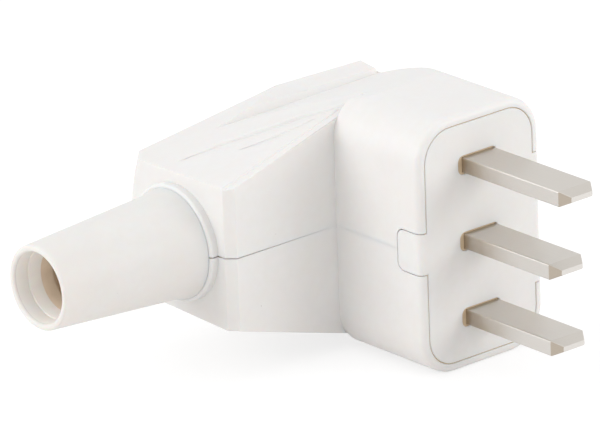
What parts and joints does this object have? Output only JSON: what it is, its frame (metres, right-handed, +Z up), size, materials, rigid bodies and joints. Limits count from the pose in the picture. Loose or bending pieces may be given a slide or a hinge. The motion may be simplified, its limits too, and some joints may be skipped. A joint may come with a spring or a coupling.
{
  "type": "electrical plug",
  "caption": "White rewirable cooker plug with flat pins in a row and a side cord outlet, in a housing of two screwed halves.",
  "frame": {"origin": "middle of the pin face", "axes": "-Y along the blades, -X along the cord outlet, +Z up towards the longer blade"},
  "size_m": [0.0897, 0.0824, 0.05],
  "materials": {
    "white_plastic": "satin moulded",
    "white_rubber": "satin moulded",
    "clamp_plastic": "moulded",
    "nickel_plate": "nickel plated",
    "brass": "machined",
    "steel": "zinc plated"
  },
  "bodies": {
    "root": {"upper_housing": "white_plastic", "lower_housing": "white_plastic", "pin_carrier": "white_plastic", "earth_blade": "nickel_plate", "earth_terminal": "brass", "earth_terminal_screw": "steel", "line_blade": "nickel_plate", "line_terminal": "brass", "line_terminal_screw": "steel", "neutral_blade": "nickel_plate", "neutral_terminal": "brass", "neutral_terminal_screw": "steel", "bend_sleeve": "white_rubber", "cord_clamp": "clamp_plastic", "clamp_screw_near": "steel", "clamp_screw_far": "steel", "housing_screw_1": "steel", "threaded_insert_1": "brass", "housing_screw_2": "steel", "threaded_insert_2": "brass", "housing_screw_3": "steel", "threaded_insert_3": "brass"}
  },
  "joints": []
}
